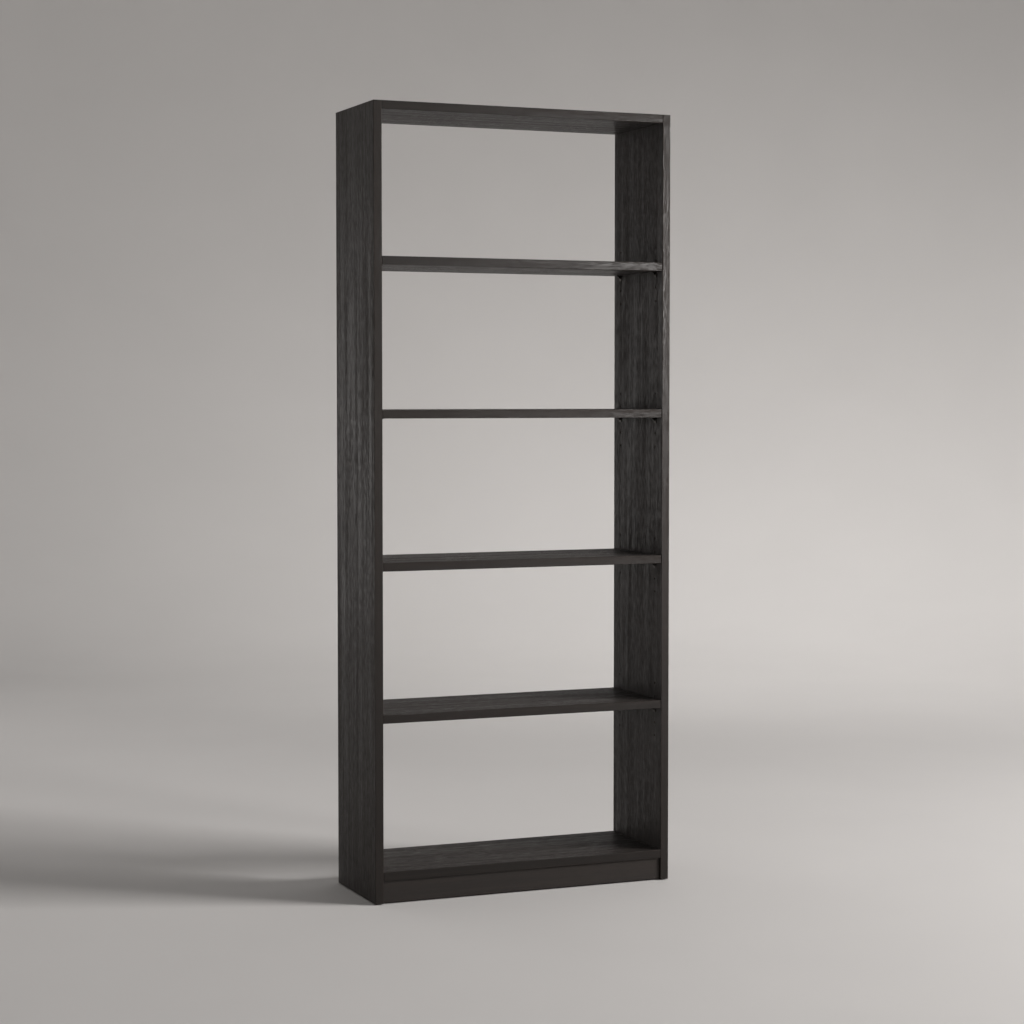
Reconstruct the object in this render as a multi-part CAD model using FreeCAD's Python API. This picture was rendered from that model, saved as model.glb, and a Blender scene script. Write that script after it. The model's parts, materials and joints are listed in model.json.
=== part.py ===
import FreeCAD, Part
import os

# An open-backed bookcase: two side boards, a fixed top and bottom between them, two plinth boards
# and four loose shelves on push-in supports. Millimetres. X runs from left to right, Y from front
# to back and Z up. The origin is on the floor, at the middle of the case's width and depth.

WIDTH = 754.0
DEPTH = 270.0
HEIGHT = 1850.0
BOARD = 20.0
SHELVES = 4
FIRST_SHELF_TOP = 441.0
HOLE_PITCH = 32.0
SHELF_PITCH = 11 * HOLE_PITCH
BOTTOM_PANEL_TOP = 75.0

# Edge strips and eased corners
LIPPING = 3.0
LIPPING_EASE = 1.0
BOARD_EASE = 0.6

# Loose shelves
SHELF_END_GAP = 1.0
SHELF_SETBACK = 1.0

# Plinth boards
PLINTH_BOARD = 16.0
PLINTH_SETBACK = 6.0
PLINTH_FLOOR_GAP = 3.5

# Nail-on glides under the side boards
GLIDE_HEIGHT = 2.0
GLIDE_RADIUS = 8.0
GLIDE_EASE = 0.5
GLIDE_INSET = 28.0
NAIL_RADIUS = 1.0
NAIL_LENGTH = 13.0
NAIL_POINT = 3.0

# Shelf supports: a round stem in the side board, a leg flat on it and a ledge under the shelf
PIN_ROW_INSET = 37.0
PIN_HOLE_RADIUS = 2.5
PIN_HOLE_DEPTH = 10.0
PIN_HOLES_EACH_WAY = 2
PIN_STEM_RADIUS = 2.45
PIN_STEM_LENGTH = 8.0
PIN_STEM_CHAMFER = 0.5
PIN_AXIS_DROP = 7.0
PIN_WIDTH = 12.0
PIN_SHEET = 1.6
PIN_LEG_HEIGHT = 13.0
PIN_LEDGE_LENGTH = 14.0
PIN_CORNER = 3.0
PIN_RIB = 1.4

# Cam fittings: a headed bolt from the side board, gripped by a turning cam in the cross board
FITTING_RUNNING_GAP = 0.05
BOLT_THREAD_RADIUS = 2.5
BOLT_THREAD_LENGTH = 11.0
BOLT_FLANGE_RADIUS = 3.6
BOLT_FLANGE_LENGTH = 1.5
BOLT_SHANK_RADIUS = 2.9
BOLT_SHANK_LENGTH = 22.0
BOLT_NECK_RADIUS = 1.8
BOLT_HEAD_RADIUS = 3.2
BOLT_HEAD_START = 30.2
BOLT_HEAD_LENGTH = 3.4
BOLT_HOLE_RADIUS = 4.0
CAM_FROM_END = 34.0
CAM_RADIUS = 7.4
CAM_POCKET_RADIUS = 7.5
CAM_INSET = 1.2
CAM_FLOOR = 0.6
CAM_CAVITY_RADIUS = 5.3
CAM_CAVITY_HALF = 3.5
CAM_SLOT = 4.4
CAM_DRIVE_LENGTH = 8.0
CAM_DRIVE_WIDTH = 1.4
CAM_DRIVE_DEPTH = 2.0
CAM_POCKET_SPARE = 0.3
CAP_THICKNESS = 1.0
CAP_CHAMFER = 0.25
FITTING_HOLE_DEPTH = 12.0

# Dowels
DOWEL_RADIUS = 4.0
DOWEL_LENGTH = 34.0
DOWEL_IN_SIDE = 11.0
DOWEL_CHAMFER = 0.8
DOWEL_HOLE_IN_BOARD = 24.0

# Where fittings stand: offsets in Y on a wide board, heights on a plinth board
PANEL_BOLT_Y = 90.0
PANEL_DOWEL_Y = 58.0
PLINTH_BOLT_Z = 40.0
PLINTH_DOWEL_Z = 16.0

INNER_X = WIDTH / 2 - BOARD
FRONT_Y = -DEPTH / 2
BACK_Y = DEPTH / 2
BOTTOM_PANEL_UNDER = BOTTOM_PANEL_TOP - BOARD
TOP_PANEL_UNDER = HEIGHT - BOARD
SHELF_LENGTH = 2 * (INNER_X - SHELF_END_GAP)
PIN_ROWS_Y = [FRONT_Y + PIN_ROW_INSET, BACK_Y - PIN_ROW_INSET]
PLINTH_FRONT_Y = FRONT_Y + PLINTH_SETBACK
PLINTH_REAR_Y = BACK_Y - PLINTH_SETBACK - PLINTH_BOARD
LEFT = -1
RIGHT = 1

X_AXIS = FreeCAD.Vector(1, 0, 0)
Y_AXIS = FreeCAD.Vector(0, 1, 0)
Z_AXIS = FreeCAD.Vector(0, 0, 1)
SAME_PLACE = 1e-6

# Which way a board's cam face looks, as the turn about X that points +Z that way
UP = 0
DOWN = 180
TO_FRONT = 90
TO_BACK = -90


def point(x, y, z):
    return FreeCAD.Vector(x, y, z)


def box(x, y, z):
    """A box from three (low, high) pairs."""
    return Part.makeBox(x[1] - x[0], y[1] - y[0], z[1] - z[0], point(x[0], y[0], z[0]))


def rod(radius, length, start, axis):
    return Part.makeCylinder(radius, length, start, axis)


def cut(shape, tools):
    return shape.cut(Part.makeCompound(tools)) if tools else shape


def middle(edge):
    return edge.valueAt((edge.FirstParameter + edge.LastParameter) / 2)


def ease(shape, radius, wanted):
    """Round the edges whose middle point the wanted function picks."""
    return shape.makeFillet(radius, [e for e in shape.Edges if wanted(middle(e))])


def same(a, b):
    return abs(a - b) < SAME_PLACE


def shelf_top(number):
    return FIRST_SHELF_TOP + (number - 1) * SHELF_PITCH


def pin_heights():
    """Height of every row of support holes: a short group around each shelf."""
    heights = []
    for number in range(1, SHELVES + 1):
        axis = shelf_top(number) - BOARD - PIN_AXIS_DROP
        for step in range(-PIN_HOLES_EACH_WAY, PIN_HOLES_EACH_WAY + 1):
            heights.append(axis + step * HOLE_PITCH)
    return heights


def panel_joints(height):
    """Bolt and dowel places, as (y, z), at each end of a wide board at this mid height."""
    bolts = [(-PANEL_BOLT_Y, height), (PANEL_BOLT_Y, height)]
    dowels = [(-PANEL_DOWEL_Y, height), (PANEL_DOWEL_Y, height)]
    return bolts, dowels


def plinth_joints(front_y):
    mid = front_y + PLINTH_BOARD / 2
    return [(mid, PLINTH_BOLT_Z)], [(mid, PLINTH_DOWEL_Z)]


def all_joints():
    groups = [
        panel_joints(HEIGHT - BOARD / 2),
        panel_joints(BOTTOM_PANEL_TOP - BOARD / 2),
        plinth_joints(PLINTH_FRONT_Y),
        plinth_joints(PLINTH_REAR_Y),
    ]
    bolts = [place for group in groups for place in group[0]]
    dowels = [place for group in groups for place in group[1]]
    return bolts, dowels


def side_holes(side):
    """Every blind hole bored into the inner face of one side board."""
    face = side * INNER_X
    outward = X_AXIS * side
    bolts, dowels = all_joints()
    holes = []
    for z in pin_heights():
        for y in PIN_ROWS_Y:
            holes.append(rod(PIN_HOLE_RADIUS, PIN_HOLE_DEPTH, point(face, y, z), outward))
    for y, z in bolts:
        radius = BOLT_THREAD_RADIUS + FITTING_RUNNING_GAP
        holes.append(rod(radius, FITTING_HOLE_DEPTH, point(face, y, z), outward))
    for y, z in dowels:
        holes.append(rod(DOWEL_RADIUS, FITTING_HOLE_DEPTH, point(face, y, z), outward))
    for y in glide_rows():
        start = point(side * (WIDTH - BOARD) / 2, y, GLIDE_HEIGHT)
        holes.append(rod(NAIL_RADIUS + FITTING_RUNNING_GAP, NAIL_LENGTH, start, Z_AXIS))
    return holes


def side_span(side):
    return sorted([side * INNER_X, side * WIDTH / 2])


def side_board(side):
    board = box(side_span(side), (FRONT_Y + LIPPING, BACK_Y), (GLIDE_HEIGHT, HEIGHT))
    outer = side * WIDTH / 2

    def exposed(mid):
        rear_upright = same(mid.y, BACK_Y) and GLIDE_HEIGHT < mid.z < HEIGHT
        top_outer = same(mid.z, HEIGHT) and same(mid.x, outer)
        top_rear = same(mid.z, HEIGHT) and same(mid.y, BACK_Y)
        return rear_upright or top_outer or top_rear

    return cut(ease(board, BOARD_EASE, exposed), side_holes(side))


def side_lipping(side):
    strip = box(side_span(side), (FRONT_Y, FRONT_Y + LIPPING), (GLIDE_HEIGHT, HEIGHT))
    return ease(strip, LIPPING_EASE, lambda mid: same(mid.y, FRONT_Y))


def long_lipping(length, front, under):
    """The edge strip of a board that runs across the case, with its two long corners eased."""
    strip = box((-length / 2, length / 2), (front, front + LIPPING), (under, under + BOARD))
    ends = length / 2
    return ease(strip, LIPPING_EASE, lambda mid: same(mid.y, front) and abs(mid.x) < ends)


def end_holes(places, radius, depth):
    """Holes bored into both ends of a board that runs across the case."""
    holes = []
    for y, z in places:
        holes.append(rod(radius, depth, point(-INNER_X, y, z), X_AXIS))
        holes.append(rod(radius, depth, point(INNER_X, y, z), -X_AXIS))
    return holes


def cam_depth(board):
    """How deep a cam reaches below the face of a board of this thickness."""
    return board / 2 + CAM_CAVITY_HALF + CAM_FLOOR


def at_both_ends(shape, from_end, places, facing=UP, off_axis=0):
    """Copies of a fitting at both ends of a board, turned so its +Z looks the facing way."""
    face_turn = FreeCAD.Rotation(X_AXIS, facing)
    lift = face_turn.multVec(Z_AXIS) * off_axis
    copies = []
    for side, end_turn in ((LEFT, 0), (RIGHT, 180)):
        for y, z in places:
            one = shape.copy()
            place = point(side * (INNER_X - from_end), y, z) + lift
            turn = face_turn.multiply(FreeCAD.Rotation(Z_AXIS, end_turn))
            one.Placement = FreeCAD.Placement(place, turn)
            copies.append(one)
    return copies


def joint_holes(bolts, dowels, facing, board):
    """The holes of a cross board: bolts and dowels in its ends, cam pockets in one face."""
    pocket_depth = cam_depth(board) + CAM_POCKET_SPARE
    pocket = rod(CAM_POCKET_RADIUS, pocket_depth, point(0, 0, -pocket_depth), Z_AXIS)
    holes = end_holes(bolts, BOLT_HOLE_RADIUS, CAM_FROM_END)
    holes += end_holes(dowels, DOWEL_RADIUS, DOWEL_HOLE_IN_BOARD)
    return holes + at_both_ends(pocket, CAM_FROM_END, bolts, facing, board / 2)


def cross_panel(under, facing):
    """The fixed top or bottom: a board between the sides, bored for dowels and cams."""
    span = (-INNER_X, INNER_X)
    board = box(span, (FRONT_Y + LIPPING, BACK_Y), (under, under + BOARD))
    board = ease(board, BOARD_EASE, lambda mid: same(mid.y, BACK_Y) and abs(mid.x) < INNER_X)
    bolts, dowels = panel_joints(under + BOARD / 2)
    return cut(board, joint_holes(bolts, dowels, facing, BOARD))


def plinth_board(front_y, facing):
    """A plinth board on edge, bored from the face that looks into the plinth space."""
    span = (-INNER_X, INNER_X)
    heights = (PLINTH_FLOOR_GAP, BOTTOM_PANEL_UNDER)
    board = box(span, (front_y, front_y + PLINTH_BOARD), heights)
    outer = front_y if facing == TO_BACK else front_y + PLINTH_BOARD
    lower = PLINTH_FLOOR_GAP
    board = ease(board, BOARD_EASE, lambda mid: same(mid.y, outer) and same(mid.z, lower))
    bolts, dowels = plinth_joints(front_y)
    return cut(board, joint_holes(bolts, dowels, facing, PLINTH_BOARD))


def shelf(number):
    top = shelf_top(number)
    span = (-SHELF_LENGTH / 2, SHELF_LENGTH / 2)
    back = BACK_Y - SHELF_SETBACK
    board = box(span, (FRONT_Y + SHELF_SETBACK + LIPPING, back), (top - BOARD, top))
    return ease(board, BOARD_EASE, lambda mid: same(mid.y, back) and abs(mid.x) < span[1])


def shelf_lipping(number):
    return long_lipping(SHELF_LENGTH, FRONT_Y + SHELF_SETBACK, shelf_top(number) - BOARD)


def support_ledge(under):
    """The flat under the shelf, with its two free corners rounded. It reaches along +X."""
    ledge = box((0, PIN_LEDGE_LENGTH), (-PIN_WIDTH / 2, PIN_WIDTH / 2), (under - PIN_SHEET, under))

    def free_corner(mid):
        upright = under - PIN_SHEET < mid.z < under
        return upright and same(mid.x, PIN_LEDGE_LENGTH) and same(abs(mid.y), PIN_WIDTH / 2)

    return ease(ledge, PIN_CORNER, free_corner)


def support_rib(under):
    """The triangular web that stiffens the ledge against the leg."""
    top = under - PIN_SHEET / 2
    corners = [
        point(PIN_SHEET / 2, -PIN_RIB / 2, top),
        point(PIN_LEDGE_LENGTH - PIN_CORNER, -PIN_RIB / 2, top),
        point(PIN_SHEET / 2, -PIN_RIB / 2, under - PIN_LEG_HEIGHT + PIN_CORNER),
    ]
    web = Part.Face(Part.makePolygon(corners + corners[:1]))
    return web.extrude(Y_AXIS * PIN_RIB)


def shelf_support(side, y, under):
    """One push-in support, made as for the left side board and turned round for the right."""
    leg_span = (under - PIN_LEG_HEIGHT, under)
    leg = box((0, PIN_SHEET), (-PIN_WIDTH / 2, PIN_WIDTH / 2), leg_span)
    stem = rod(PIN_STEM_RADIUS, PIN_STEM_LENGTH, point(0, 0, under - PIN_AXIS_DROP), -X_AXIS)
    tip = -PIN_STEM_LENGTH
    stem = stem.makeChamfer(PIN_STEM_CHAMFER, [e for e in stem.Edges if same(middle(e).x, tip)])
    whole = leg.fuse([support_ledge(under), support_rib(under), stem]).removeSplitter()
    if side == RIGHT:
        whole.rotate(point(0, 0, 0), Z_AXIS, 180)
    whole.translate(point(side * INNER_X, y, 0))
    return whole


def connecting_bolt():
    """A bolt whose flange starts at the origin, with its head towards +X and thread towards -X."""
    pieces = [
        rod(BOLT_THREAD_RADIUS, BOLT_THREAD_LENGTH, point(-BOLT_THREAD_LENGTH, 0, 0), X_AXIS),
        rod(BOLT_FLANGE_RADIUS, BOLT_FLANGE_LENGTH, point(0, 0, 0), X_AXIS),
        rod(BOLT_SHANK_RADIUS, BOLT_SHANK_LENGTH, point(0, 0, 0), X_AXIS),
        rod(BOLT_NECK_RADIUS, BOLT_HEAD_START, point(0, 0, 0), X_AXIS),
        rod(BOLT_HEAD_RADIUS, BOLT_HEAD_LENGTH, point(BOLT_HEAD_START, 0, 0), X_AXIS),
    ]
    return pieces[0].fuse(pieces[1:]).removeSplitter()


def cam(board):
    """A cam for this board: the board's face is z = 0, the body is below, the bolt from -X."""
    depth = cam_depth(board)
    body = rod(CAM_RADIUS, depth - CAM_INSET, point(0, 0, -depth), Z_AXIS)
    low = -board / 2 - CAM_CAVITY_HALF
    cavity = rod(CAM_CAVITY_RADIUS, 2 * CAM_CAVITY_HALF, point(0, 0, low), Z_AXIS)
    slot = box((-CAM_RADIUS - 1, 0), (-CAM_SLOT / 2, CAM_SLOT / 2), (low, low + 2 * CAM_CAVITY_HALF))
    floor = -CAM_INSET - CAM_DRIVE_DEPTH
    long_way = (-CAM_DRIVE_LENGTH / 2, CAM_DRIVE_LENGTH / 2)
    short_way = (-CAM_DRIVE_WIDTH / 2, CAM_DRIVE_WIDTH / 2)
    cross = [box(long_way, short_way, (floor, 0)), box(short_way, long_way, (floor, 0))]
    return cut(body, [cavity, slot] + cross)


def cams_at(places, facing, board):
    return at_both_ends(cam(board), CAM_FROM_END, places, facing, board / 2)


def caps_at(places, facing, board):
    cap = rod(CAM_RADIUS, CAP_THICKNESS, point(0, 0, -CAP_THICKNESS), Z_AXIS)
    cap = cap.makeChamfer(CAP_CHAMFER, [e for e in cap.Edges if same(middle(e).z, 0)])
    return at_both_ends(cap, CAM_FROM_END, places, facing, board / 2)


def dowel():
    """A dowel with both ends chamfered, crossing the joint plane at the origin."""
    radius = DOWEL_RADIUS - FITTING_RUNNING_GAP
    start = -DOWEL_IN_SIDE
    peg = rod(radius, DOWEL_LENGTH, point(start, 0, 0), X_AXIS)
    ends = (start, start + DOWEL_LENGTH)
    rims = [e for e in peg.Edges if same(middle(e).x, ends[0]) or same(middle(e).x, ends[1])]
    return peg.makeChamfer(DOWEL_CHAMFER, rims)


def glide_rows():
    return [FRONT_Y + GLIDE_INSET, BACK_Y - GLIDE_INSET]


def glide(side, y):
    centre = point(side * (WIDTH - BOARD) / 2, y, 0)
    disc = rod(GLIDE_RADIUS, GLIDE_HEIGHT, centre, Z_AXIS)
    disc = disc.makeFillet(GLIDE_EASE, [e for e in disc.Edges if same(middle(e).z, 0)])
    shank = NAIL_LENGTH - NAIL_POINT
    nail = rod(NAIL_RADIUS, shank, centre + Z_AXIS * GLIDE_HEIGHT, Z_AXIS)
    tip = centre + Z_AXIS * (GLIDE_HEIGHT + shank)
    point_cone = Part.makeCone(NAIL_RADIUS, NAIL_RADIUS / 5, NAIL_POINT, tip, Z_AXIS)
    return disc.fuse([nail, point_cone]).removeSplitter()


def case_nodes():
    return {
        "side_left": side_board(LEFT),
        "side_right": side_board(RIGHT),
        "side_left_lipping": side_lipping(LEFT),
        "side_right_lipping": side_lipping(RIGHT),
        "top_panel": cross_panel(TOP_PANEL_UNDER, UP),
        "top_panel_lipping": long_lipping(2 * INNER_X, FRONT_Y, TOP_PANEL_UNDER),
        "bottom_panel": cross_panel(BOTTOM_PANEL_UNDER, DOWN),
        "bottom_panel_lipping": long_lipping(2 * INNER_X, FRONT_Y, BOTTOM_PANEL_UNDER),
        "plinth_front": plinth_board(PLINTH_FRONT_Y, TO_BACK),
        "plinth_rear": plinth_board(PLINTH_REAR_Y, TO_FRONT),
    }


def shelf_nodes():
    nodes = {}
    for number in range(1, SHELVES + 1):
        name = "shelf_%d" % number
        nodes[name] = shelf(number)
        nodes[name + "_lipping"] = shelf_lipping(number)
        under = shelf_top(number) - BOARD
        for row, y in zip(("front", "rear"), PIN_ROWS_Y):
            nodes["%s_pin_%s_left" % (name, row)] = shelf_support(LEFT, y, under)
            nodes["%s_pin_%s_right" % (name, row)] = shelf_support(RIGHT, y, under)
    return nodes


def fitting_nodes():
    top_bolts, top_dowels = panel_joints(HEIGHT - BOARD / 2)
    low_bolts, low_dowels = panel_joints(BOTTOM_PANEL_TOP - BOARD / 2)
    front_bolts, front_dowels = plinth_joints(PLINTH_FRONT_Y)
    rear_bolts, rear_dowels = plinth_joints(PLINTH_REAR_Y)
    front_cams = cams_at(front_bolts, TO_BACK, PLINTH_BOARD)
    rear_cams = cams_at(rear_bolts, TO_FRONT, PLINTH_BOARD)
    groups = {
        "cam_locks_top": cams_at(top_bolts, UP, BOARD),
        "cam_locks_bottom": cams_at(low_bolts, DOWN, BOARD),
        "cam_locks_plinth": front_cams + rear_cams,
        "cam_caps_top": caps_at(top_bolts, UP, BOARD),
        "connecting_bolts_top": at_both_ends(connecting_bolt(), 0, top_bolts),
        "connecting_bolts_bottom": at_both_ends(connecting_bolt(), 0, low_bolts),
        "connecting_bolts_plinth": at_both_ends(connecting_bolt(), 0, front_bolts + rear_bolts),
        "dowels_top": at_both_ends(dowel(), 0, top_dowels),
        "dowels_bottom": at_both_ends(dowel(), 0, low_dowels),
        "dowels_plinth": at_both_ends(dowel(), 0, front_dowels + rear_dowels),
    }
    return {name: Part.makeCompound(solids) for name, solids in groups.items()}


def glide_nodes():
    nodes = {}
    for side, side_name in ((LEFT, "left"), (RIGHT, "right")):
        for y, row in zip(glide_rows(), ("front", "rear")):
            nodes["glide_%s_%s" % (row, side_name)] = glide(side, y)
    return nodes


def main():
    os.makedirs("parts", exist_ok=True)
    nodes = {}
    for group in (case_nodes(), shelf_nodes(), fitting_nodes(), glide_nodes()):
        nodes.update(group)
    for name, shape in nodes.items():
        if not shape.isValid():
            raise ValueError("%s is not a valid solid" % name)
        shape.exportStep("parts/%s.step" % name)
    print("%d nodes" % len(nodes))


main()
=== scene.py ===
import json
import math

import bmesh
import bpy
from mathutils import Euler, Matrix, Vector


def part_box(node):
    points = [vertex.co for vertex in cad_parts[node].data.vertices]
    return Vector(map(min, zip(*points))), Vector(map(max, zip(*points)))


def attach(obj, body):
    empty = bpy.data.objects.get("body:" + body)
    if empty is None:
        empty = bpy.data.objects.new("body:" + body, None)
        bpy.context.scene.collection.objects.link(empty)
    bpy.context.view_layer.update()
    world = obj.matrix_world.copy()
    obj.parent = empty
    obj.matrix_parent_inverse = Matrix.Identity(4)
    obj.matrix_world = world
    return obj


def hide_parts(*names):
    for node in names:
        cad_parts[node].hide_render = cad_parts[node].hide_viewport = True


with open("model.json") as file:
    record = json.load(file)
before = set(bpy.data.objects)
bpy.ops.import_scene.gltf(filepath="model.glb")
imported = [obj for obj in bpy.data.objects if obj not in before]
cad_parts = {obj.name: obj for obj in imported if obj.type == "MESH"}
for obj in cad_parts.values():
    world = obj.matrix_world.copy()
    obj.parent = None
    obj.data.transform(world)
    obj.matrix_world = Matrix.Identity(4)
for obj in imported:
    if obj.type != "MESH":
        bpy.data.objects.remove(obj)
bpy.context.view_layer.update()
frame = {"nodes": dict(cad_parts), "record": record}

# An open-backed bookcase in black-brown stained veneer. Metres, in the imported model's own frame:
# X from left to right, Y from front to back, Z up, with the origin on the floor.

SHELVES = (1, 2, 3, 4)
SIDES = (("left", -1), ("right", 1))
ROWS = ("front", "rear")
MM = 0.001

# Corners and arrises. A joint arris is the one where a board's end closes on a side; the wood
# finish darkens it as painted shade, standing in for the shadow in the joint.
LIPPING_ARRIS = 1.0 * MM
BOARD_ARRIS = 0.6 * MM
SEAM_ARRIS = 0.12 * MM
JOINT_ARRIS = 1.2 * MM
LONG_BOARD = 0.5
ARRIS_STEPS = 4
RIM_CHAMFER = 0.18 * MM

# Bored holes, as the case is drilled
PIN_AXIS_DROP = 7.0 * MM
PIN_ROW_PITCH = 32.0 * MM
PIN_ROWS_EACH_WAY = 2
PIN_HOLE_RADIUS = 2.5 * MM
PIN_HOLE_DEPTH = 10.0 * MM
THREAD_HOLE_RADIUS = 2.55 * MM
SIDE_HOLE_DEPTH = 12.0 * MM
DOWEL_HOLE_RADIUS = 4.0 * MM
DOWEL_HOLE_DEPTH = 24.0 * MM
BOLT_HOLE_RADIUS = 4.0 * MM
CAM_FROM_END = 34.0 * MM
CAM_POCKET_RADIUS = 7.5 * MM
CAM_FLOOR_PAST_MIDDLE = 4.4 * MM
PANEL_BOLT_Y = 90.0 * MM
PANEL_DOWEL_Y = 58.0 * MM
PLINTH_BOLT_Z = 40.0 * MM
PLINTH_DOWEL_Z = 16.0 * MM
HOLE_SIDES = 32
OVERSHOOT = 1.0 * MM


# ---------------------------------------------------------------- finishes


class Value:
    """One output in a finish's node tree, so that shader maths reads as plain arithmetic."""

    def __init__(self, finish, socket):
        self.finish = finish
        self.socket = socket

    def maths(self, operation, first, second):
        values = {"Value": first, "Value_001": second}
        return self.finish.add("ShaderNodeMath", {"operation": operation}, values)

    def __add__(self, other):
        return self.maths("ADD", self, other)

    __radd__ = __add__

    def __sub__(self, other):
        return self.maths("SUBTRACT", self, other)

    def __rsub__(self, other):
        return self.maths("SUBTRACT", other, self)

    def __mul__(self, other):
        return self.maths("MULTIPLY", self, other)

    __rmul__ = __mul__


class Finish:
    """A material under construction."""

    def __init__(self, name):
        self.material = bpy.data.materials.new(name)
        self.material.use_nodes = True
        self.tree = self.material.node_tree
        self.tree.nodes.clear()
        self.place = self.add("ShaderNodeTexCoord", {}, {}, "Object")

    def add(self, kind, settings, values, result=""):
        """A node of this kind, its settings made first, then values or links put in its sockets."""
        node = self.tree.nodes.new(kind)
        for key, setting in settings.items():
            if key == "stops":
                self.set_stops(node.color_ramp, setting)
            else:
                setattr(node, key, setting)
        sockets = {socket.identifier: socket for socket in node.inputs}
        for key, value in values.items():
            if isinstance(value, Value):
                self.tree.links.new(value.socket, sockets[key])
            else:
                sockets[key].default_value = value
        outputs = [s for s in node.outputs if s.identifier == result] or list(node.outputs)
        return Value(self, outputs[0]) if outputs else None

    def set_stops(self, ramp, stops):
        while len(ramp.elements) < len(stops):
            ramp.elements.new(1.0)
        for element, (position, shade) in zip(ramp.elements, stops):
            element.position = position
            element.color = shade

    def stretched(self, scale):
        """The piece's own coordinates, in metres, multiplied by a scale along each axis."""
        return self.add("ShaderNodeMapping", {}, {"Vector": self.place, "Scale": scale})

    def noise(self, where, detail=2.0, roughness=0.5, distortion=0.0):
        """Cloudy noise whose size comes from the stretched coordinates."""
        values = {"Vector": where, "Scale": 1.0, "Detail": detail}
        values.update({"Roughness": roughness, "Distortion": distortion})
        return self.add("ShaderNodeTexNoise", {}, values)

    def between(self, value, low, high, to_low=0.0, to_high=1.0):
        """The value carried smoothly from one range to another, and held at its ends."""
        settings = {"interpolation_type": "SMOOTHSTEP"}
        values = {"Value": value, "From Min": low, "From Max": high}
        values.update({"To Min": to_low, "To Max": to_high})
        return self.add("ShaderNodeMapRange", settings, values)

    def blend(self, factor, first, second):
        values = {"Factor_Float": factor, "A_Color": first, "B_Color": second}
        return self.add("ShaderNodeMix", {"data_type": "RGBA"}, values, "Result_Color")

    def bump(self, height, distance, strength):
        values = {"Height": height, "Distance": distance, "Strength": strength}
        return self.add("ShaderNodeBump", {}, values)

    def surface(self, **values):
        """The finish's shader and output. Underscores in names stand for spaces."""
        named = {key.replace("_", " "): value for key, value in values.items()}
        shader = self.add("ShaderNodeBsdfPrincipled", {"distribution": "GGX"}, named)
        self.add("ShaderNodeOutputMaterial", {}, {"Surface": shader})
        return self.material


def shade(red, green, blue):
    return (red, green, blue, 1.0)


def even(scale):
    """One noise scale for all three axes."""
    return (scale, scale, scale)


# The wood. Grain figures are noise scales to the metre, across the grain and along it.
DEEP_STAIN = (0.0132, 0.0097, 0.0079)
FULL_STAIN = (0.0178, 0.0132, 0.0108)
THIN_STAIN = (0.0245, 0.0176, 0.0142)
# The pore stain. It is also the colour of the painted shade in the joints.
PORE_AND_JOINT_SHADE = (0.0070, 0.0053, 0.0045)
RUBBED_STAIN = (0.0420, 0.0325, 0.0270)
WANDER_GRAIN = (9.0, 1.3)
BROAD_GRAIN = (46.0, 1.1)
BAND_GRAIN = (190.0, 3.2)
LINE_GRAIN = (1900.0, 48.0)
PORE_GRAIN = (2300.0, 95.0)
STREAK_SPAN = (0.38, 0.62)
LINE_SPAN = (0.32, 0.68)
PORE_SPAN = (0.60, 0.70)
PORE_TONE = 0.55
WEAR_SCALE = 26.0
WEAR_SPAN = (0.42, 0.72)
WEAR_RANGE = (0.12, 0.75)
MATT_SPAN = (0.393, 0.565)
SATIN_LEVEL = 0.5
RIDGE_ROUGHNESS = 0.28
PORE_ROUGHNESS = 0.86
PORE_MATT = 0.08
JOINT_MATT = 0.5
GRAIN_RELIEF = 0.1 * MM
GRAIN_STRENGTH = 0.3


def grain_scale(along, grain):
    """Noise scales on X, Y and Z for figure that runs along one axis."""
    across, lengthwise = grain
    return tuple(lengthwise if axis == along else across for axis in "XYZ")


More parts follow.
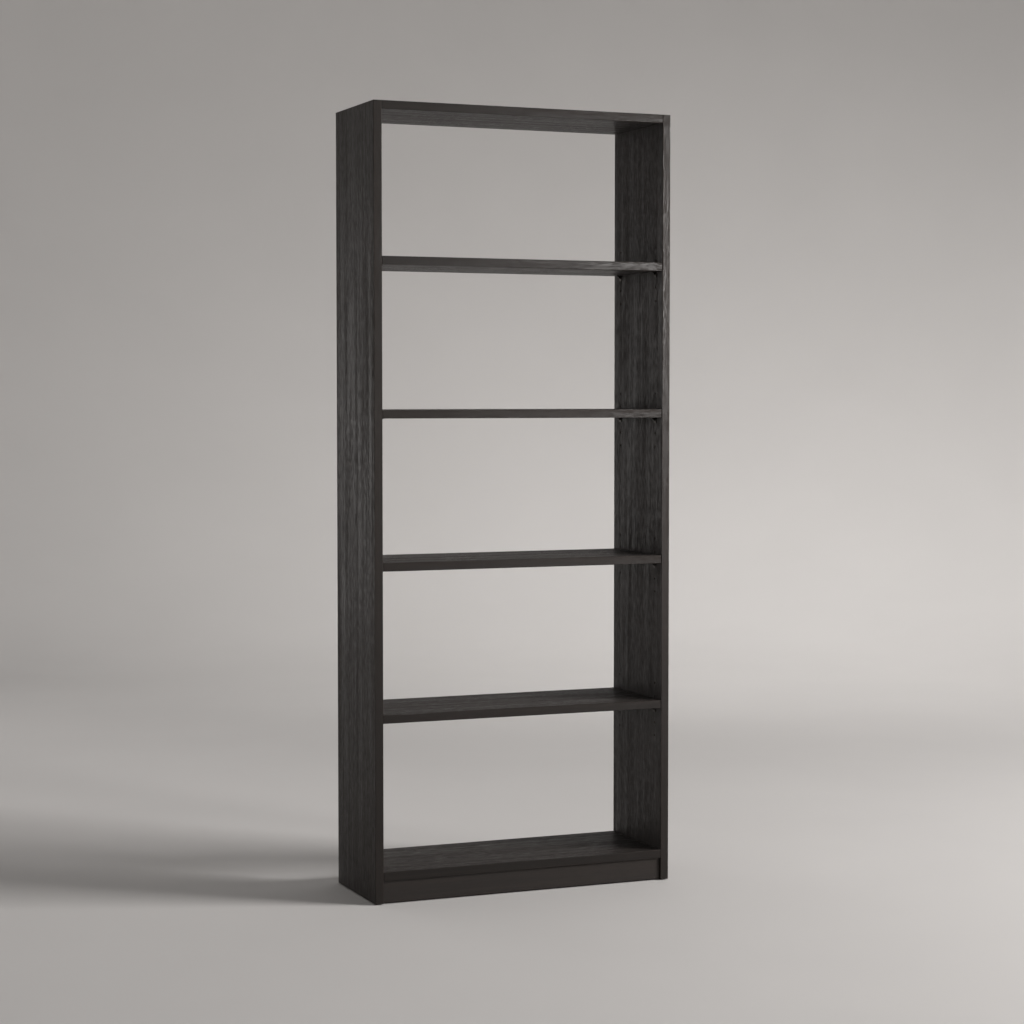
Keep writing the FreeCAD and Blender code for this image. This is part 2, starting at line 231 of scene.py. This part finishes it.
def stained_wood(name, along, strength=1.0, level=SATIN_LEVEL):
    """Black-brown stained open-pored wood, with its grain along one axis. The lacquer is smooth
    on the ridges between the pores and rough where it sinks into them. Arrises are a little
    rubbed, and the ones that close on a neighbour are darkened as painted shade for the joint."""
    deep, full, thin, pore_and_joint_shade, rubbed = (
        shade(*(part * strength for part in stain))
        for stain in (DEEP_STAIN, FULL_STAIN, THIN_STAIN, PORE_AND_JOINT_SHADE, RUBBED_STAIN)
    )
    wood = Finish(name)
    wander = wood.noise(wood.stretched(grain_scale(along, WANDER_GRAIN)), detail=1.0)
    broad = wood.noise(wood.stretched(grain_scale(along, BROAD_GRAIN)), 3.0, 0.55, 0.35)
    band = wood.noise(wood.stretched(grain_scale(along, BAND_GRAIN)), 3.0, 0.6, 0.2)
    line = wood.noise(wood.stretched(grain_scale(along, LINE_GRAIN)), 3.0, 0.6)
    pore = wood.noise(wood.stretched(grain_scale(along, PORE_GRAIN)), 1.0, 0.5)
    streak = wood.between(broad * 0.5 + band * 0.5, *STREAK_SPAN)
    fine = wood.between(line, *LINE_SPAN)
    open_pore = wood.between(pore + (band - 0.5) * 0.25, *PORE_SPAN)
    arris = wood.add("ShaderNodeAttribute", {"attribute_name": "arris"}, {}, "Fac")
    patch = wood.noise(wood.stretched(even(WEAR_SCALE)), 3.0, 0.6)
    arris_marks = wood.between(arris, 0.0, 1.0) * wood.between(patch, *WEAR_SPAN, *WEAR_RANGE)
    # Painted shade: arrises marked -1, where a board's end closes on a side, take the pore stain
    # and more roughness to stand in for the shadow in the joint.
    joint_shade_mask = wood.between(arris, -1.0, 0.0, 1.0, 0.0)
    tone = wood.blend(streak, deep, thin)
    tone = wood.blend(fine * 0.35 + wander * 0.2, tone, full)
    tone = wood.blend(open_pore * PORE_TONE, tone, pore_and_joint_shade)
    tone = wood.blend(arris_marks, tone, rubbed)
    # Painted shade in the joints.
    tone = wood.blend(joint_shade_mask, tone, pore_and_joint_shade)
    matt = wood.between(line * 0.68 + band * 0.16 + broad * 0.16, *MATT_SPAN)
    sheen = RIDGE_ROUGHNESS + matt * (PORE_ROUGHNESS - RIDGE_ROUGHNESS)
    sheen = sheen + open_pore * PORE_MATT + joint_shade_mask * JOINT_MATT
    relief = fine * 0.35 + (1.0 - open_pore) * 0.65
    normal = wood.bump(relief, GRAIN_RELIEF, GRAIN_STRENGTH)
    return wood.surface(
        Base_Color=tone, Roughness=sheen, Normal=normal, Specular_IOR_Level=level
    )


CHIP_SCALE = (420.0, 420.0, 900.0)
CHIP_DUST_SCALE = 1800.0
CHIP_DARK = (0.020, 0.014, 0.010)
CHIP_MIDDLE = (0.048, 0.034, 0.023)
CHIP_PALE = (0.095, 0.069, 0.046)


def chipboard():
    """The pressed chips that show inside bored holes and on raw edges."""
    core = Finish("chipboard_core")
    chips = core.add(
        "ShaderNodeTexVoronoi",
        {"feature": "F1"},
        {"Vector": core.stretched(CHIP_SCALE), "Scale": 1.0},
        "Color",
    )
    grey = core.add("ShaderNodeSeparateColor", {}, {"Color": chips}, "Red")
    dust = core.noise(core.stretched(even(CHIP_DUST_SCALE)), 2.0, 0.6)
    stops = [(0.0, shade(*CHIP_DARK)), (0.5, shade(*CHIP_MIDDLE)), (1.0, shade(*CHIP_PALE))]
    tone = core.add("ShaderNodeValToRGB", {"stops": stops}, {"Fac": grey * 0.75 + dust * 0.25})
    normal = core.bump(grey + dust * 0.5, 0.2 * MM, 0.6)
    return core.surface(Base_Color=tone, Roughness=0.82 + dust * 0.1, Normal=normal)


BEECH_DARK = (0.52, 0.345, 0.20)
BEECH_PALE = (0.70, 0.51, 0.325)
BEECH_FLECK = (0.36, 0.215, 0.115)
BEECH_GRAIN = (260.0, 14.0)
FLECK_GRAIN = (1500.0, 300.0)
FLECK_SPAN = (0.58, 0.66)


def plain_beech():
    """Bare turned beech with its short dark flecks, grain along X."""
    beech = Finish("plain_beech")
    figure = beech.noise(beech.stretched(grain_scale("X", BEECH_GRAIN)), 3.0, 0.55)
    fleck = beech.noise(beech.stretched(grain_scale("X", FLECK_GRAIN)), 1.0)
    ray = beech.between(fleck, *FLECK_SPAN)
    tone = beech.blend(figure, shade(*BEECH_DARK), shade(*BEECH_PALE))
    tone = beech.blend(ray * 0.5, tone, shade(*BEECH_FLECK))
    normal = beech.bump(figure + ray, 0.1 * MM, 0.3)
    return beech.surface(Base_Color=tone, Roughness=0.6 + ray * 0.12, Normal=normal)


def metal(name, dark, bright, roughness, mottle, grit):
    """Plated or cast metal with a faint mottle and fine tooling marks."""
    plate = Finish(name)
    cloud = plate.noise(plate.stretched(even(mottle)), 3.0, 0.55)
    speck = plate.noise(plate.stretched(even(grit)), 2.0, 0.6)
    tone = plate.blend(plate.between(cloud, 0.3, 0.7), dark, bright)
    rough = roughness + (speck - 0.5) * 0.16 + (cloud - 0.5) * 0.12
    normal = plate.bump(speck, 0.06 * MM, 0.35)
    return plate.surface(Base_Color=tone, Metallic=1.0, Roughness=rough, Normal=normal)


SPARK_SCALE = 2600.0
FLOW_SCALE = 120.0


def moulded_plastic(name, dark, light, roughness):
    """Matt moulded plastic with the fine spark texture of its mould."""
    plastic = Finish(name)
    spark = plastic.noise(plastic.stretched(even(SPARK_SCALE)), 2.0, 0.7)
    flow = plastic.noise(plastic.stretched(even(FLOW_SCALE)), 2.0)
    tone = plastic.blend(plastic.between(flow, 0.35, 0.65), dark, light)
    normal = plastic.bump(spark, 0.05 * MM, 0.5)
    rough = roughness + (spark - 0.5) * 0.12
    return plastic.surface(Base_Color=tone, Roughness=rough, Normal=normal)


finishes = {
    "upright_veneer": stained_wood("upright_veneer", "Z"),
    "upright_lipping": stained_wood("upright_lipping", "Z", strength=0.8, level=0.36),
    "cross_veneer": stained_wood("cross_veneer", "X"),
    "cross_lipping": stained_wood("cross_lipping", "X", strength=0.7, level=0.35),
    "beech": plain_beech(),
    "cast_zinc": metal(
        "cast_zinc",
        dark=shade(0.30, 0.30, 0.31),
        bright=shade(0.46, 0.46, 0.47),
        roughness=0.46,
        mottle=700.0,
        grit=3500.0,
    ),
    "fitting_steel": metal(
        "fitting_steel",
        dark=shade(0.52, 0.51, 0.47),
        bright=shade(0.68, 0.66, 0.60),
        roughness=0.28,
        mottle=500.0,
        grit=4200.0,
    ),
    "black_nickel": metal(
        "black_nickel",
        dark=shade(0.045, 0.041, 0.038),
        bright=shade(0.085, 0.078, 0.07),
        roughness=0.38,
        mottle=400.0,
        grit=4200.0,
    ),
    "cap_plastic": moulded_plastic(
        "cap_plastic",
        dark=shade(0.020, 0.0165, 0.015),
        light=shade(0.030, 0.025, 0.022),
        roughness=0.5,
    ),
    "glide_plastic": moulded_plastic(
        "glide_plastic",
        dark=shade(0.075, 0.068, 0.064),
        light=shade(0.11, 0.10, 0.095),
        roughness=0.55,
    ),
}
core_finish = chipboard()


# ---------------------------------------------------------------- boards


TINY = 0.01 * MM
ALIGNED = 0.9999


def faces_at(place, low, high):
    """The faces of a box that a point lies on, such as "-Y+Z". An edge's middle gives two."""
    label = ""
    for axis, here, bottom, top in zip("XYZ", place, low, high):
        if abs(here - bottom) < TINY:
            label += "-" + axis
        elif abs(here - top) < TINY:
            label += "+" + axis
    return label


def bore(radius, depth, mouth, inward):
    """A drill for one blind hole: where its mouth is, which way it goes in, with a broken rim."""
    rings = [
        (-OVERSHOOT, radius + RIM_CHAMFER + OVERSHOOT),
        (RIM_CHAMFER, radius),
        (depth, radius),
    ]
    turn = Vector((0, 0, 1)).rotation_difference(Vector(inward))
    return [(Vector(mouth), turn, rings)]


def drill_mesh(name, bores):
    """One mesh that holds every drill of a board."""
    mesh = bmesh.new()
    for mouth, turn, rings in bores:
        circles = []
        for depth, radius in rings:
            circle = []
            for step in range(HOLE_SIDES):
                angle = math.tau * step / HOLE_SIDES
                spot = Vector((radius * math.cos(angle), radius * math.sin(angle), depth))
                circle.append(mesh.verts.new(turn @ spot + mouth))
            circles.append(circle)
        mesh.faces.new(reversed(circles[0]))
        mesh.faces.new(circles[-1])
        for lower, upper in zip(circles, circles[1:]):
            for step in range(HOLE_SIDES):
                after = (step + 1) % HOLE_SIDES
                mesh.faces.new((lower[step], lower[after], upper[after], upper[step]))
    data = bpy.data.meshes.new(name)
    mesh.to_mesh(data)
    mesh.free()
    return data


def blank(name, low, high, arrises):
    """A squared board with a bevel weight on each edge: its own arris, or a bare easing."""
    mesh = bmesh.new()
    bmesh.ops.create_cube(mesh, size=1.0)
    for corner in mesh.verts:
        for number in range(3):
            corner.co[number] = high[number] if corner.co[number] > 0 else low[number]
    weight = mesh.edges.layers.float.new("bevel_weight_edge")
    for edge in mesh.edges:
        middle = (edge.verts[0].co + edge.verts[1].co) / 2
        edge[weight] = arrises.get(faces_at(middle, low, high), SEAM_ARRIS) / LIPPING_ARRIS
    data = bpy.data.meshes.new(name)
    mesh.to_mesh(data)
    mesh.free()
    return data


def add_modifier(piece, name, kind, settings):
    modifier = piece.modifiers.new(name, kind)
    for key, setting in settings.items():
        setattr(modifier, key, setting)


def finished_mesh(piece):
    """The piece's mesh with its modifiers worked in."""
    bpy.context.view_layer.update()
    seen = piece.evaluated_get(bpy.context.evaluated_depsgraph_get())
    data = bpy.data.meshes.new_from_object(seen)
    piece.modifiers.clear()
    return data


def mark_arrises(data, low, high, raw):
    """Smooth the rounded arrises, mark them 1 for wear or -1 for painted shade where they close
    on a neighbour at the board's ends, and show chipboard on raw faces."""
    arris_marks = data.attributes.new("arris", "FLOAT", "FACE")
    for face in data.polygons:
        slanted = max(abs(part) for part in face.normal) < ALIGNED
        veneered = face.material_index == 0
        face.use_smooth = slanted
        arris_marks.data[face.index].value = float(slanted and veneered)
        from_end = min(face.center.x - low.x, high.x - face.center.x)
        # Painted shade: -1 marks the arrises at a long board's ends, which the wood finish darkens
        # for the shadow where they close on a side.
        if slanted and high.x - low.x > LONG_BOARD and from_end < JOINT_ARRIS:
            arris_marks.data[face.index].value = -1.0
        if veneered and raw and faces_at(face.center, low, high) == raw:
            face.material_index = 1


def board(node, name, arrises, holes=(), raw=""):
    """A board that stands for a CAD node and is cut from that node's own box. Holes are lists
    of drills, one list for each pass, because drills of one pass must not cross. A raw face
    is one that the veneer leaves bare."""
    low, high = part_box(node)
    piece = bpy.data.objects.new(name, blank(name, low, high, arrises))
    bpy.context.scene.collection.objects.link(piece)
    piece.data.materials.append(finishes[slot_of[node]])
    piece.data.materials.append(core_finish)
    settings = {"limit_method": "WEIGHT", "width": LIPPING_ARRIS, "segments": ARRIS_STEPS}
    add_modifier(piece, "arrises", "BEVEL", settings)
    drills = []
    for number, bores in enumerate(holes):
        drill = bpy.data.objects.new("drill", drill_mesh("drill", bores))
        drill.data.materials.append(core_finish)
        bpy.context.scene.collection.objects.link(drill)
        drills.append(drill)
        settings = {"operation": "DIFFERENCE", "solver": "EXACT", "object": drill}
        settings["material_mode"] = "TRANSFER"
        add_modifier(piece, "bore_%d" % number, "BOOLEAN", settings)
    piece.data = finished_mesh(piece)
    for drill in drills:
        bpy.data.objects.remove(drill)
    mark_arrises(piece.data, low, high, raw)
    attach(piece, body_of[node])
    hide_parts(node)
    return piece


slot_of = {}
for part in frame["record"]["subparts"]:
    slot_of[part["node"]] = part["material_slot"]
body_of = {}
for body, nodes in frame["record"]["behaviour"]["bodies"].items():
    for node in nodes:
        body_of[node] = body


def pin_bores(side, sign):
    """Drills for every shelf support hole in one side board: five rows around each shelf."""
    bores = []
    for number in SHELVES:
        for row in ROWS:
            low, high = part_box("shelf_%d_pin_%s_%s" % (number, row, side))
            axis = high.z - PIN_AXIS_DROP
            for step in range(-PIN_ROWS_EACH_WAY, PIN_ROWS_EACH_WAY + 1):
                mouth = (sign * inner_x, (low.y + high.y) / 2, axis + step * PIN_ROW_PITCH)
                bores += bore(PIN_HOLE_RADIUS, PIN_HOLE_DEPTH, mouth, (sign, 0, 0))
    return bores


def panel_places(node):
    """Where bolts and dowels cross a fixed panel's ends, as (y, z)."""
    low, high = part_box(node)
    middle = (low.z + high.z) / 2
    bolts = [(-PANEL_BOLT_Y, middle), (PANEL_BOLT_Y, middle)]
    dowels = [(-PANEL_DOWEL_Y, middle), (PANEL_DOWEL_Y, middle)]
    return bolts, dowels


def plinth_places(node):
    """Where bolts and dowels cross a plinth rail's ends, as (y, z)."""
    low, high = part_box(node)
    middle = (low.y + high.y) / 2
    return [(middle, PLINTH_BOLT_Z)], [(middle, PLINTH_DOWEL_Z)]


def joint_bores(sign):
    """Drills for the bolts and dowels that enter one side board."""
    bores = []
    for bolts, dowels in joint_places.values():
        for y, z in bolts:
            mouth = (sign * inner_x, y, z)
            bores += bore(THREAD_HOLE_RADIUS, SIDE_HOLE_DEPTH, mouth, (sign, 0, 0))
        for y, z in dowels:
            mouth = (sign * inner_x, y, z)
            bores += bore(DOWEL_HOLE_RADIUS, SIDE_HOLE_DEPTH, mouth, (sign, 0, 0))
    return bores


def end_bores(node):
    """Drills for the bolts and dowels in both ends of a board that crosses the case."""
    bolts, dowels = joint_places[node]
    bores = []
    for _, sign in SIDES:
        for y, z in bolts:
            mouth = (sign * inner_x, y, z)
            bores += bore(BOLT_HOLE_RADIUS, CAM_FROM_END, mouth, (-sign, 0, 0))
        for y, z in dowels:
            mouth = (sign * inner_x, y, z)
            bores += bore(DOWEL_HOLE_RADIUS, DOWEL_HOLE_DEPTH, mouth, (-sign, 0, 0))
    return bores


def cam_bores(node, face):
    """Drills for the cam pockets in one face of a board: the face is +Z, -Z, +Y or -Y."""
    low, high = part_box(node)
    axis = "XYZ".index(face[1])
    end = high[axis] if face[0] == "+" else low[axis]
    depth = (high[axis] - low[axis]) / 2 + CAM_FLOOR_PAST_MIDDLE
    inward = [0, 0, 0]
    inward[axis] = -1 if face[0] == "+" else 1
    bores = []
    for _, sign in SIDES:
        for y, z in joint_places[node][0]:
            mouth = [sign * (inner_x - CAM_FROM_END), y, z]
            mouth[axis] = end
            bores += bore(CAM_POCKET_RADIUS, depth, mouth, inward)
    return bores


inner_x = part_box("top_panel")[1].x
joint_places = {
    "top_panel": panel_places("top_panel"),
    "bottom_panel": panel_places("bottom_panel"),
    "plinth_front": plinth_places("plinth_front"),
    "plinth_rear": plinth_places("plinth_rear"),
}
LONG_REAR = {"+Y+Z": BOARD_ARRIS, "+Y-Z": BOARD_ARRIS}
LONG_FRONT = {"-Y+Z": LIPPING_ARRIS, "-Y-Z": LIPPING_ARRIS}
JOINTED_ENDS = {"-X-Y": JOINT_ARRIS, "+X-Y": JOINT_ARRIS}
ALL_FRONT = dict(LONG_FRONT)
ALL_FRONT.update({"-X-Y": LIPPING_ARRIS, "+X-Y": LIPPING_ARRIS})

for side, sign in SIDES:
    outer = "+X" if sign > 0 else "-X"
    arrises = {"-X+Y": BOARD_ARRIS, "+X+Y": BOARD_ARRIS, "+Y+Z": BOARD_ARRIS}
    arrises[outer + "+Z"] = BOARD_ARRIS
    drills = [pin_bores(side, sign) + joint_bores(sign)]
    board("side_" + side, "side_%s_board" % side, arrises, drills, raw="-Z")
    board("side_%s_lipping" % side, "side_%s_edge_strip" % side, ALL_FRONT)

for level, face in (("top", "+Z"), ("bottom", "-Z")):
    node = level + "_panel"
    drills = [end_bores(node), cam_bores(node, face)]
    board(node, level + "_board", LONG_REAR, drills)
    board(node + "_lipping", level + "_edge_strip", {**LONG_FRONT, **JOINTED_ENDS})

for row, face, lower in (("front", "+Y", "-Y-Z"), ("rear", "-Y", "+Y-Z")):
    node = "plinth_" + row
    drills = [end_bores(node), cam_bores(node, face)]
    board(node, node + "_board", {lower: BOARD_ARRIS, **JOINTED_ENDS}, drills)

for number in SHELVES:
    node = "shelf_%d" % number
    board(node, node + "_board", LONG_REAR)
    board(node + "_lipping", node + "_edge_strip", LONG_FRONT)

# The fittings keep their CAD shapes and get their own finishes.
for node, part in frame["nodes"].items():
    if not part.hide_render:
        part.data.materials.clear()
        part.data.materials.append(finishes[slot_of[node]])


# ---------------------------------------------------------------- studio


FLOOR_RADIUS = 4.4
COVE_RADIUS = 4.2
WALL_HEIGHT = 4.8
SWEEP_SIDES = 128
FLOOR_STEPS = 4
COVE_STEPS = 24
PAPER_DARK = (0.70, 0.688, 0.676)
PAPER_PALE = (0.74, 0.727, 0.714)
PAPER_CLOUDS = 1.7


def sweep():
    """A plain pale floor that curves up into a plain wall all the way round."""
    profile = [(FLOOR_RADIUS * step / FLOOR_STEPS, 0.0) for step in range(1, FLOOR_STEPS + 1)]
    for step in range(1, COVE_STEPS + 1):
        angle = math.pi / 2 * step / COVE_STEPS
        out = FLOOR_RADIUS + COVE_RADIUS * math.sin(angle)
        profile.append((out, COVE_RADIUS * (1 - math.cos(angle))))
    profile.append((FLOOR_RADIUS + COVE_RADIUS, WALL_HEIGHT))
    mesh = bmesh.new()
    centre = mesh.verts.new((0, 0, 0))
    rings = []
    for radius, height in profile:
        ring = []
        for step in range(SWEEP_SIDES):
            angle = math.tau * step / SWEEP_SIDES
            spot = (radius * math.cos(angle), radius * math.sin(angle), height)
            ring.append(mesh.verts.new(spot))
        rings.append(ring)
    for step in range(SWEEP_SIDES):
        after = (step + 1) % SWEEP_SIDES
        mesh.faces.new((centre, rings[0][step], rings[0][after]))
        for inner, outer in zip(rings, rings[1:]):
            mesh.faces.new((inner[step], outer[step], outer[after], inner[after]))
    data = bpy.data.meshes.new("studio_sweep")
    mesh.to_mesh(data)
    mesh.free()
    data.materials.append(studio_paper())
    data.shade_smooth()
    backdrop = bpy.data.objects.new("studio_sweep", data)
    bpy.context.scene.collection.objects.link(backdrop)


def studio_paper():
    """Matt pale paper. Seen from behind it isn't there, so a view from below works too."""
    paper = Finish("studio_paper")
    cloud = paper.noise(paper.stretched(even(PAPER_CLOUDS)), 2.0)
    tone = paper.blend(cloud, shade(*PAPER_DARK), shade(*PAPER_PALE))
    matt = paper.add("ShaderNodeBsdfDiffuse", {}, {"Color": tone})
    clear = paper.add("ShaderNodeBsdfTransparent", {}, {})
    behind = paper.add("ShaderNodeNewGeometry", {}, {}, "Backfacing")
    values = {"Fac": behind, "Shader": matt, "Shader_001": clear}
    both = paper.add("ShaderNodeMixShader", {}, values)
    paper.add("ShaderNodeOutputMaterial", {}, {"Surface": both})
    return paper.material


LAMP_TINT = (1.0, 0.972, 0.955)
ACCENT_CONE = math.radians(26.0)
ACCENT_RADIUS = 0.45
AIR_STRENGTH = 0.05


def put_lamp(lamp, name, place, target, power):
    """Stand a lamp at its place, turned to its target and out of the camera's sight."""
    lamp.energy = power
    lamp.color = LAMP_TINT
    stand = bpy.data.objects.new(name, lamp)
    stand.location = place
    stand.rotation_mode = "QUATERNION"
    stand.rotation_quaternion = (Vector(target) - Vector(place)).to_track_quat("-Z", "Y")
    stand.visible_camera = False
    bpy.context.scene.collection.objects.link(stand)


def soft_light(name, place, target, size, power, spread):
    """A rectangular soft light. A spread under 180 degrees works like a grid on its front."""
    lamp = bpy.data.lights.new(name, "AREA")
    lamp.shape = "RECTANGLE"
    lamp.size, lamp.size_y = size
    lamp.spread = math.radians(spread)
    put_lamp(lamp, name, place, target, power)


def accent_spot(name, place, target, power):
    """A soft-edged spot that picks out the front edges at one end."""
    lamp = bpy.data.lights.new(name, "SPOT")
    lamp.spot_size = ACCENT_CONE
    lamp.spot_blend = 1.0
    lamp.shadow_soft_size = ACCENT_RADIUS
    put_lamp(lamp, name, place, target, power)


def studio_air():
    """Dim even light from the open top of the studio."""
    world = bpy.data.worlds.new("studio_air")
    world.use_nodes = True
    world.node_tree.nodes.clear()
    glow = world.node_tree.nodes.new("ShaderNodeBackground")
    glow.inputs["Color"].default_value = shade(*LAMP_TINT)
    glow.inputs["Strength"].default_value = AIR_STRENGTH
    output = world.node_tree.nodes.new("ShaderNodeOutputWorld")
    world.node_tree.links.new(glow.outputs["Background"], output.inputs["Surface"])
    bpy.context.scene.world = world


CAMERA_PLACE = (-2.1504, -5.1728, 1.1732)
CAMERA_TURN = math.radians(22.7745)
CAMERA_DIP = math.radians(2.8138)
LENS = 81.862
SENSOR = 36.0


def camera():
    """A long lens at standing height, to the left of the bookcase and slightly dipped."""
    lens = bpy.data.cameras.new("camera")
    lens.lens = LENS
    lens.sensor_width = SENSOR
    eye = bpy.data.objects.new("camera", lens)
    eye.location = CAMERA_PLACE
    eye.rotation_euler = Euler((math.pi / 2 - CAMERA_DIP, 0.0, -CAMERA_TURN))
    bpy.context.scene.collection.objects.link(eye)
    bpy.context.scene.camera = eye


# Powers are in watts and spreads in degrees. The washes light the backdrop and not the case.
KEY_POWER = 438.0
RIGHT_WASH_POWER = 17.0
MIDDLE_WASH_POWER = 19.0
ACCENT_POWER = 500.0
PANEL_POWER = 6.5
CEILING_POWER = 46.0
OPEN = 180.0
GRIDDED = 88.0
KEY_SIZE = (2.4, 2.4)
WASH_SIZE = (2.0, 1.6)
PANEL_SIZE = (0.9, 1.6)
CEILING_SIZE = (5.0, 5.0)

sweep()
place, target = (5.2, -3.3, 3.2), (0.0, 0.0, 0.95)
soft_light("key_softbox", place, target, KEY_SIZE, KEY_POWER, OPEN)
place, target = (3.2, 1.6, 4.4), (4.3, 4.8, 0.1)
soft_light("right_wash", place, target, WASH_SIZE, RIGHT_WASH_POWER, GRIDDED)
place, target = (1.4, 1.8, 4.3), (2.8, 5.8, 0.1)
soft_light("middle_wash", place, target, WASH_SIZE, MIDDLE_WASH_POWER, GRIDDED)
place, target = (2.45, -3.6, 1.85), (0.5, -0.13, 1.25)
accent_spot("accent_spot", place, target, ACCENT_POWER)
place, target = (-2.0, 3.9, 1.05), (-0.377, 0.0, 1.05)
soft_light("left_panel", place, target, PANEL_SIZE, PANEL_POWER, OPEN)
place, target = (0.0, 1.0, 4.6), (0.0, 1.0, 0.0)
soft_light("ceiling_bounce", place, target, CEILING_SIZE, CEILING_POWER, OPEN)
studio_air()
camera()
bpy.context.scene.view_settings.view_transform = "Standard"
